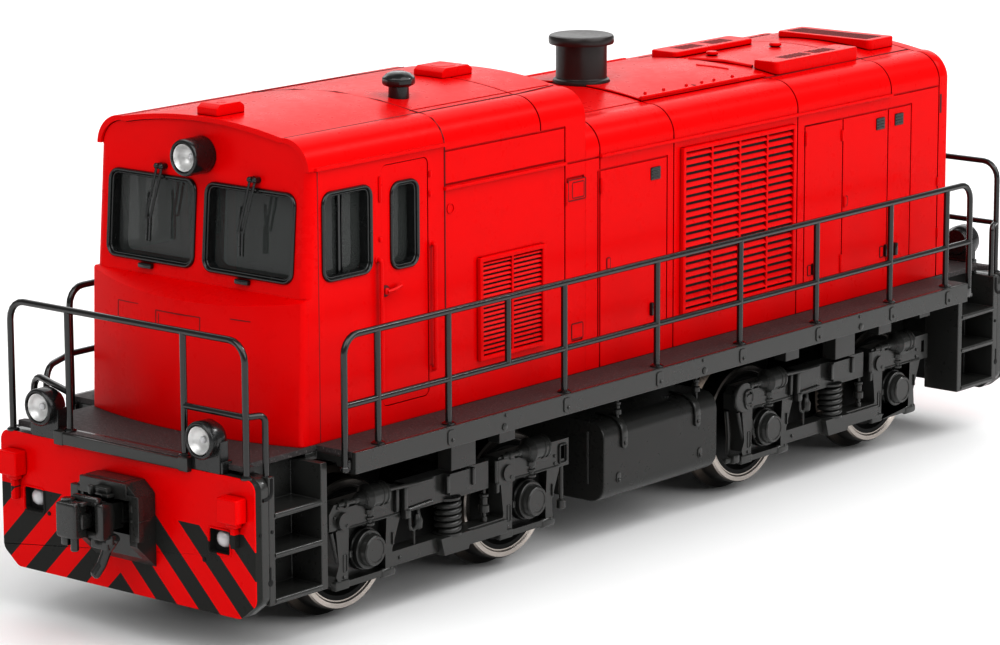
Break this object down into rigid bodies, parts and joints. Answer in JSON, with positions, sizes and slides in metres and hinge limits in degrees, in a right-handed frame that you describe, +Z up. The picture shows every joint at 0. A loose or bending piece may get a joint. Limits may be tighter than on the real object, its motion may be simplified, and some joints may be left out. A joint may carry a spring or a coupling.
{
  "type": "model diesel locomotive",
  "caption": "Scale model of a diesel locomotive on bogies, with one end cab, stepped hoods, walkways with railings, steps, tank and knuckle couplers.",
  "frame": {"origin": "centre of the wheel base at floor level, where the wheel flanges stand", "axes": "+X forward to the cab end, +Y to the left side, +Z up"},
  "size_m": [0.125, 0.034, 0.0456],
  "materials": {
    "frame_black": "satin",
    "walkway_brown": "matte, fine grain",
    "body_red": "satin gloss",
    "lamp_black": "satin",
    "window_rubber": "matte",
    "window_glass": "clear, grey tint",
    "cab_grey": "matte",
    "ballast_metal": "bare casting",
    "rail_black": "satin",
    "grab_red": "satin",
    "spring_black": "satin",
    "wheel_rim": "turned",
    "wheel_black": "satin",
    "coupler_black": "satin"
  },
  "bodies": {
    "locomotive": {"ballast_block": "ballast_metal", "cab_body": "body_red", "cab_doors": "body_red", "cab_glass": "window_glass", "cab_interior": "cab_grey", "cab_nose": "body_red", "cab_roof": "body_red", "coupler_pocket_front": "frame_black", "coupler_pocket_rear": "frame_black", "end_plate_front": "body_red", "end_plate_rear": "body_red", "exhaust_stack": "lamp_black", "fuel_tank": "frame_black", "grab_rails": "grab_red", "headlights": "lamp_black", "high_hood": "body_red", "louvre_grilles": "body_red", "low_hood": "body_red", "marker_lamps": "lamp_black", "porch_deck_front": "walkway_brown", "porch_deck_rear": "walkway_brown", "railing_front": "rail_black", "railing_left": "rail_black", "railing_rear": "rail_black", "railing_right": "rail_black", "roof_hatches": "body_red", "roof_louvres": "body_red", "roof_vent": "lamp_black", "steps_front": "frame_black", "steps_rear": "frame_black", "tank_straps": "frame_black", "underframe": "frame_black", "walkways": "walkway_brown", "window_frames": "window_rubber", "wipers": "lamp_black"},
    "bogie_front": {"axle_boxes_front": "frame_black", "bogie_core_front": "frame_black", "bogie_springs_front": "spring_black", "brake_cylinders_front": "frame_black", "side_frame_front_left": "frame_black", "side_frame_front_right": "frame_black"},
    "bogie_rear": {"axle_boxes_rear": "frame_black", "bogie_core_rear": "frame_black", "bogie_springs_rear": "spring_black", "brake_cylinders_rear": "frame_black", "side_frame_rear_left": "frame_black", "side_frame_rear_right": "frame_black"},
    "wheelset_1": {"tyres_1": "wheel_rim", "axle_1": "wheel_black"},
    "wheelset_2": {"tyres_2": "wheel_rim", "axle_2": "wheel_black"},
    "wheelset_3": {"tyres_3": "wheel_rim", "axle_3": "wheel_black"},
    "wheelset_4": {"tyres_4": "wheel_rim", "axle_4": "wheel_black"},
    "coupler_front": {"coupler_front": "coupler_black"},
    "coupler_rear": {"coupler_rear": "coupler_black"}
  },
  "joints": [
    {"name": "bogie_front_swivel", "type": "hinge", "parent": "locomotive", "child": "bogie_front", "pos_m": [0.02875, 0, 0.0128], "axis": [0, 0, 1], "range_deg": [-7, 7]},
    {"name": "bogie_rear_swivel", "type": "hinge", "parent": "locomotive", "child": "bogie_rear", "pos_m": [-0.02875, 0, 0.0128], "axis": [0, 0, 1], "range_deg": [-7, 7]},
    {"name": "wheelset_1_spin", "type": "hinge", "parent": "bogie_front", "child": "wheelset_1", "pos_m": [0.0396, 0, 0.00665], "axis": [0, 1, 0], "continuous": true},
    {"name": "wheelset_2_spin", "type": "hinge", "parent": "bogie_front", "child": "wheelset_2", "pos_m": [0.0179, 0, 0.00665], "axis": [0, 1, 0], "continuous": true},
    {"name": "wheelset_3_spin", "type": "hinge", "parent": "bogie_rear", "child": "wheelset_3", "pos_m": [-0.0179, 0, 0.00665], "axis": [0, 1, 0], "continuous": true},
    {"name": "wheelset_4_spin", "type": "hinge", "parent": "bogie_rear", "child": "wheelset_4", "pos_m": [-0.0396, 0, 0.00665], "axis": [0, 1, 0], "continuous": true},
    {"name": "coupler_front_swing", "type": "hinge", "parent": "locomotive", "child": "coupler_front", "pos_m": [0.0526, 0, 0.0116], "axis": [0, 0, 1], "range_deg": [-12, 12]},
    {"name": "coupler_rear_swing", "type": "hinge", "parent": "locomotive", "child": "coupler_rear", "pos_m": [-0.0526, 0, 0.0116], "axis": [0, 0, 1], "range_deg": [-12, 12]}
  ]
}
